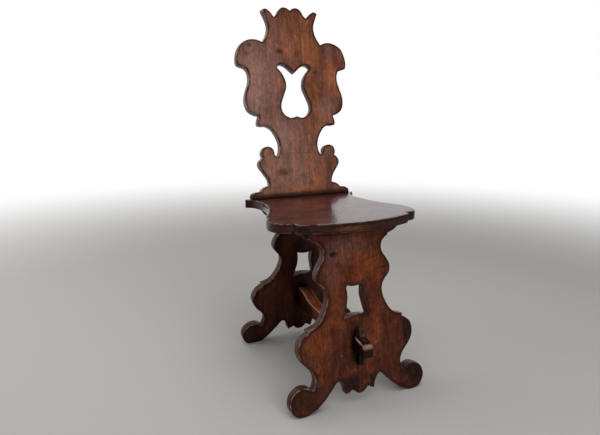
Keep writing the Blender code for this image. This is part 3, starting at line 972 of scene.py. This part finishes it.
# The back's colours are its own walnut made paler and greyer by a painted sheen
BACK_LOOK = wood_look(
    (BACK_LEAN, 0, 0), (0.0, 0.0, 0.0), BACK_FOOT, BACK_SPOTS, BACK_STAINS + [PETAL_TIP_STAIN],
    light=(0.272, 0.094, 0.036), mid=(0.156, 0.052, 0.026), dark=(0.070, 0.022, 0.013),
    dull=(0.105, 0.054, 0.044), faded=(0.27, 0.15, 0.125), rim=(0.026, 0.008, 0.006),
    rubbed=(0.36, 0.25, 0.20), rim_reach=0.007, rim_share=0.95, nook_reach=0.020, rub_right=0.0, figure=0.85,
    seam=(0.028, 0.5, "light"), face=board_face(BACK_LEAN), edge_tone=0.5, roughness=0.33, shine=0.20)


# Finish of the trestles, with chips on the left front foot

FRONT_LEAN, FRONT_FOOT = board_of("front_trestle", 0.0)
REAR_LEAN = board_of("rear_trestle", 0.0)[0]
# Spots on the front trestle; the pale greyish ones are a painted sheen on its neck
FRONT_SPOTS = flat_spots(
    (0, 335, 150, 90, 0.35, "light"),
    (-20, 390, 90, 50, 0.38, "faded"),
    (-60, 330, 40, 60, 0.2, "faded"),
    (0, 80, 240, 100, 0.5, "dark"),
    (-55, 381, 15, 10, 1.5, "rim"),
    (40, 357, 20, 3, 1.5, "rim"),
    (82, 335, 18, 4, 1.2, "rim"),
    (42, 345, 34, 34, 0.6, "light"),
    (-27, 375, 26, 18, 0.5, "light"),
    (-104, 165, 50, 50, 0.6, "light"),
    (130, 190, 80, 130, 0.5, "dark"),
    (-56, 270, 26, 66, 0.35, "light"),
    (57, 185, 16, 70, 0.4, "light"),
    (-47, 131, 4, 4, 0.3, "pale"),
    (51, 145, 4, 4, 0.4, "pale"),
    (-158, 40, 60, 60, 0.6, "rim"),
    (163, 46, 60, 60, 1.0, "rim"),
    (154, 150, 32, 66, 1.5, "rim"),
    (52, 262, 26, 56, 0.6, "dark"),
    (0, 52, 80, 40, 1.2, "rim"),
    (0, 206, 44, 12, 0.7, "rim"),
    (-2, 390, 3, 50, 0.6, "rim"),
    # The spot below is painted shadow under the tusk, round the key's tail
    (0, 100, 30, 40, 0.6, "rim"))
FOOT_CHIPS = [
    (Vector((-0.189, -0.2255, 0.030)), 0.007),
    (Vector((-0.190, -0.2235, 0.046)), 0.009),
    (Vector((-0.188, -0.2215, 0.062)), 0.007),
]
FOOT_CHIP_STAINS = [((-188.5, 1.0, up), (3.0, 3.5, high), 0.9, "pale")
                    for up, high in ((33, 9), (49, 10), (66, 7))]
FRONT_TRESTLE_LOOK = wood_look(
    (FRONT_LEAN, 0, 0), (0.7, 0.2, 0.1), FRONT_FOOT, FRONT_SPOTS, FOOT_CHIP_STAINS,
    figure=1.15, seam=(0.698, 0.25, "light"), face=board_face(FRONT_LEAN), edge_tone=0.85)
# The rear trestle's walnut is darker than the front's, partly as its own wood and partly as painted shade
# under the seat
REAR_TRESTLE_LOOK = wood_look(
    (REAR_LEAN, 0, 0), (1.3, 0.5, 0.7),
    light=(0.115, 0.027, 0.009), mid=(0.056, 0.013, 0.006), dark=(0.021, 0.005, 0.003),
    rim=(0.009, 0.003, 0.002))


# Finish of the stretcher, black towards its ends, with worn tusks and painted highlights on them, and
# painted shade and a patch of painted light on the bar

BAR_MIDDLE = Vector((0.0, 0.0, (BAR_LOW.z + BAR_HIGH.z) / 2))
FRONT_TUSK_END = -255
REAR_TUSK_END = 217
# Painted shadow over the rear end by the rear trestle, and a patch of painted light on the left side
BAR_STAINS = [((0, 0, 165), (60, 60, 75), 1.0, "rim"), ((-17, 2, 5), (8, 20, 40), 0.2, "light")]
for tusk_end, inward in ((FRONT_TUSK_END, 1), (REAR_TUSK_END, -1)):
    BAR_STAINS += [
        ((0, 0, tusk_end + 15 * inward), (150, 150, 85), 4.0, "black"),
        # Worn nose, partly a painted highlight on its rounded top; a brown top; and a painted glint along
        # the left arris
        ((0, -16, tusk_end + 3 * inward), (32, 9, 9), 0.85, "worn"),
        ((2, -27, tusk_end + 22 * inward), (9, 7, 14), 0.7, "brown"),
        ((-13, -24, tusk_end + 22 * inward), (2.4, 8, 28), 0.9, "glint"),
    ]
# Its sawn sides are darkened as painted shade
STRETCHER_LOOK = wood_look(
    (math.pi / 2, 0, 0), (0.5, 0.9, 0.2), BAR_MIDDLE, stains=BAR_STAINS,
    light=(0.32, 0.084, 0.028), mid=(0.190, 0.048, 0.016), rubbed=(0.72, 0.34, 0.23), edge_tone=0.15,
    rim_reach=0.006, rim_share=0.3, rub_reach=0.004, rub_share=1.2, rub_up=(-0.1, 0.4), rub_even=0.7)


# Finish of the keys and the tenon wedges

KEY_LOOK = wood_look(
    (FRONT_LEAN, 0, 0), (0.3, 0.3, 0.9),
    light=(0.050, 0.020, 0.013), mid=(0.022, 0.009, 0.006), dark=(0.010, 0.004, 0.003),
    rim=(0.006, 0.003, 0.003), rim_reach=0.003,
    roughness=0.30, shine=0.15, coat=0.5, coat_on_top=True, coat_roughness=0.15)
WEDGE_LOOK = wood_look((BACK_LEAN, 0, 0), (0.9, 0.4, 0.6), roughness=0.55, coat=0.0, rim_reach=0.002)

WOODS = {
    "seat": walnut("seat_walnut", SEAT_LOOK),
    "back": walnut("back_walnut", BACK_LOOK),
    "front trestle": walnut("front_trestle_walnut", FRONT_TRESTLE_LOOK),
    "rear trestle": walnut("rear_trestle_walnut", REAR_TRESTLE_LOOK),
    "stretcher": walnut("stretcher_walnut", STRETCHER_LOOK),
    "key": walnut("key_walnut", KEY_LOOK),
    "wedge": walnut("wedge_walnut", WEDGE_LOOK),
}


# Distances from the joints, where dirt settles and shade is painted

def joint_free(place):
    """Distance from a joint for a piece that has none worth marking."""
    return FAR


def back_joint(place):
    """Height above the seat."""
    return place.z - SEAT_TOP


def seat_joint(place):
    """Distance on the seat's top from the foot of the back."""
    if place.z < SEAT_TOP - JOINT_MARGIN:
        return FAR
    return max(abs(place.y - BACK_FOOT.y), abs(place.x) - BACK_FOOT_HALF)


def key_joint(place):
    """Height above the underside of the tusk that the key stands in, below which the key's tail gets painted
    shade.
    """
    return place.z - BAR_LOW.z


def trestle_joint(place):
    """Distance from the seat's underside or from the key and tusk, near which dirt and painted shade darken
    the trestle.
    """
    beside = max(abs(place.x + KEY_DIRT_SHIFT) - KEY_HIGH.x, 0.0)
    beyond = max(KEY_LOW.z + KEY_DIRT_INSET - place.z, place.z + KEY_DIRT_INSET - KEY_HIGH.z, 0.0)
    return min(SEAT_UNDERSIDE - place.z, KEY_DIRT_STRETCH * math.hypot(beside, beyond))


# Pieces

def shape_foot(places):
    """Sets the back's foot down on the seat and cuts the ends of its lowest step askew."""
    backward = Vector((0.0, math.cos(BACK_LEAN), -math.sin(BACK_LEAN)))
    for place in places:
        height = place.z - SEAT_TOP
        outer = (abs(place.x) - FOOT_STEP_START) / (FOOT_STEP_END - FOOT_STEP_START)
        lower = (FOOT_STEP - height) / FOOT_STEP * 2
        if outer > 0 and lower > 0 and height > -JOINT_MARGIN:
            share = FOOT_SPLAY * min(outer, 1.0) * min(lower, 1.0)
            through = (place - BACK_FOOT).dot(backward) / BACK_THICK
            place.x += math.copysign(share * (through - FOOT_PIVOT), place.x)
        if abs(height) < FOOT_GAP:
            place.z = SEAT_TOP - FOOT_SINK


def add_piece(name, node, body, slot, wood, made, radius, wear, joint=joint_free, reshape=None, chips=()):
    """Piece that stands for a CAD solid, rounded, marked and worn."""
    solid, points = made
    if reshape:
        reshape([vertex.co for vertex in solid.verts] + points)
    search = tree_of(points)

    def from_arris(place):
        return search.find(place)[2] - radius if joint(place) > MERGE else FAR

    mark(solid, "arris", from_arris)
    mark(solid, "nook", joint)
    bruise(solid, chips)
    piece = finished(name, solid, WOODS[wood], wear)
    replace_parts(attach(piece, body), node)


def add_plank(name, node, slot, wood, radius, wear, low=-math.inf, high=math.inf, **details):
    """Plank of the chair that stands for a CAD board, its arrises rounded between two heights."""
    made = round_plank(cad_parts[node], radius, PLANK_NET, low, high)
    add_piece(name, node, "chair", slot, wood, made, radius, wear, **details)


def add_block(name, node, body, slot, wood, radius, wear, **details):
    """Small piece that stands for a CAD solid."""
    made = round_block(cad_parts[node], radius, BLOCK_NET)
    add_piece(name, node, body, slot, wood, made, radius, wear, **details)


add_plank("seat_plank", "seat_board", "seat_walnut", "seat", SEAT_ARRIS,
          worn(seed=1.0, arris_wear=0.0012, unevenness=0.00012),
          joint=seat_joint, chips=[(place, radius, SEAT_CHIP_DEPTH) for place, radius in SEAT_CHIPS])
add_plank("back_plank", "back_board", "back_walnut", "back", PLANK_ARRIS,
          worn(seed=2.0, arris_wear=0.0009, unevenness=0.0006),
          low=SEAT_TOP - JOINT_MARGIN, joint=back_joint, reshape=shape_foot)
for end, trestle_seed, key_seed in (("front", 3.0, 5.0), ("rear", 4.0, 6.0)):
    add_plank(end + "_trestle_plank", end + "_trestle", "trestle_walnut", end + " trestle", PLANK_ARRIS,
              worn(seed=trestle_seed, arris_wear=0.0011, unevenness=0.0006),
              high=SEAT_UNDERSIDE - JOINT_MARGIN, joint=trestle_joint,
              chips=[(place, radius, FOOT_CHIP_DEPTH) for place, radius in FOOT_CHIPS])
    add_block(end + "_draw_key", end + "_key", end + "_key", "key_walnut", "key", KEY_ARRIS,
              worn(seed=key_seed, arris_wear=0.0004, unevenness=0.0002), joint=key_joint)
add_block("stretcher_bar", "stretcher", "chair", "stretcher_walnut", "stretcher", BAR_ARRIS,
          worn(seed=7.0, arris_wear=0.0008, unevenness=0.0003))
for side, wedge_seed in (("left", 8.0), ("right", 9.0)):
    add_block(side + "_wedge", side + "_tenon_wedge", "chair", "wedge_walnut", "wedge", WEDGE_ARRIS,
              worn(seed=wedge_seed, arris_wear=0.0001, unevenness=0.0001))


# Studio

def seen_share(tree, path):
    """One for what the camera sees straight, mirrored or through something clear."""
    seen = reckon(tree, "MAXIMUM", path["Is Camera Ray"], path["Is Glossy Ray"])
    return reckon(tree, "MAXIMUM", seen, path["Is Transmission Ray"])


def pale_floor():
    """Pale floor finish that fades to white far from the chair, and is clear from below."""
    material = bpy.data.materials.new("pale_floor")
    material.use_nodes = True
    tree = material.node_tree
    shader = tree.nodes["Principled BSDF"]
    shader.inputs["Base Color"].default_value = FLOOR_COLOUR
    shader.inputs["Roughness"].default_value = FLOOR_ROUGHNESS
    place = put(tree, "ShaderNodeTexCoord").outputs["Object"]
    glow = put(tree, "ShaderNodeEmission", {"Color": WHITE, "Strength": 1.0})
    path = put(tree, "ShaderNodeLightPath").outputs
    behind = ease(tree, part_of(tree, place, "Y"), *REAR_FLOOR_FADE)
    around = ease(tree, length_of(tree, place), *FLOOR_FADE)
    far = times(tree, tint(tree, path["Is Camera Ray"], behind, around), seen_share(tree, path))
    mixed = put(tree, "ShaderNodeMixShader", {0: far, 1: shader.outputs[0], 2: glow.outputs[0]})
    under = put(tree, "ShaderNodeNewGeometry").outputs["Backfacing"]
    clear = put(tree, "ShaderNodeBsdfTransparent")
    mixed = put(tree, "ShaderNodeMixShader", {0: under, 1: mixed.outputs[0], 2: clear.outputs[0]})
    feed(tree, tree.nodes["Material Output"].inputs["Surface"], mixed.outputs[0])
    return material


def studio_floor():
    """Round floor under the chair."""
    mesh = bpy.data.meshes.new("studio_floor")
    disc = bmesh.new()
    bmesh.ops.create_circle(disc, cap_ends=True, segments=FLOOR_SIDES, radius=FLOOR_RADIUS)
    disc.to_mesh(mesh)
    disc.free()
    mesh.materials.append(pale_floor())
    floor = bpy.data.objects.new("studio_floor", mesh)
    bpy.context.scene.collection.objects.link(floor)


def studio_surround():
    """White surround that lights the chair softly, and is mirrored less in front than behind."""
    world = bpy.data.worlds.new("white_surround")
    world.use_nodes = True
    tree = world.node_tree
    light = tree.nodes["Background"]
    light.inputs["Color"].default_value = SURROUND_COLOUR
    light.inputs["Strength"].default_value = SURROUND_LIGHT
    path = put(tree, "ShaderNodeLightPath").outputs
    ahead = part_of(tree, put(tree, "ShaderNodeTexCoord").outputs["Generated"], "Y")
    behind = ease_between(tree, ahead, *REAR_FADE, FRONT_WHITE, 1.0)
    strength = reckon(tree, "MAXIMUM", behind, path["Is Camera Ray"])
    white = put(tree, "ShaderNodeBackground", {"Color": WHITE, "Strength": strength})
    values = {0: seen_share(tree, path), 1: light.outputs[0], 2: white.outputs[0]}
    mixed = put(tree, "ShaderNodeMixShader", values)
    feed(tree, tree.nodes["World Output"].inputs["Surface"], mixed.outputs[0])
    bpy.context.scene.world = world


def studio_lamp(name, place, aim, size, power):
    """Square soft lamp that points at a place and isn't mirrored in the polish."""
    lamp = bpy.data.lights.new(name, "AREA")
    lamp.size = size
    lamp.energy = power
    made = bpy.data.objects.new(name, lamp)
    bpy.context.scene.collection.objects.link(made)
    made.location = place
    made.rotation_euler = (Vector(aim) - Vector(place)).to_track_quat("-Z", "Y").to_euler()
    made.visible_glossy = False


def add_camera():
    """Camera at the fitted place and angle."""
    data = bpy.data.cameras.new("camera")
    data.sensor_fit = "HORIZONTAL"
    data.sensor_width = CAMERA_SENSOR
    data.lens = CAMERA_LENS
    camera = bpy.data.objects.new("camera", data)
    bpy.context.scene.collection.objects.link(camera)
    level = math.cos(CAMERA_PITCH)
    ahead = Vector((math.sin(CAMERA_YAW) * level, math.cos(CAMERA_YAW) * level, math.sin(CAMERA_PITCH)))
    right = Vector((math.cos(CAMERA_YAW), -math.sin(CAMERA_YAW), 0.0))
    up = right.cross(ahead)
    rolled = right * math.cos(CAMERA_ROLL) + up * math.sin(CAMERA_ROLL)
    raised = up * math.cos(CAMERA_ROLL) - right * math.sin(CAMERA_ROLL)
    turned = Matrix((rolled, raised, -ahead)).transposed().to_4x4()
    turned.translation = CAMERA_PLACE + Vector((0.0, SEAT_FRONT, 0.0))
    camera.matrix_world = turned
    bpy.context.scene.camera = camera


studio_floor()
studio_surround()
for lamp_values in LAMPS:
    studio_lamp(*lamp_values)
add_camera()
bpy.context.scene.view_settings.view_transform = "Standard"
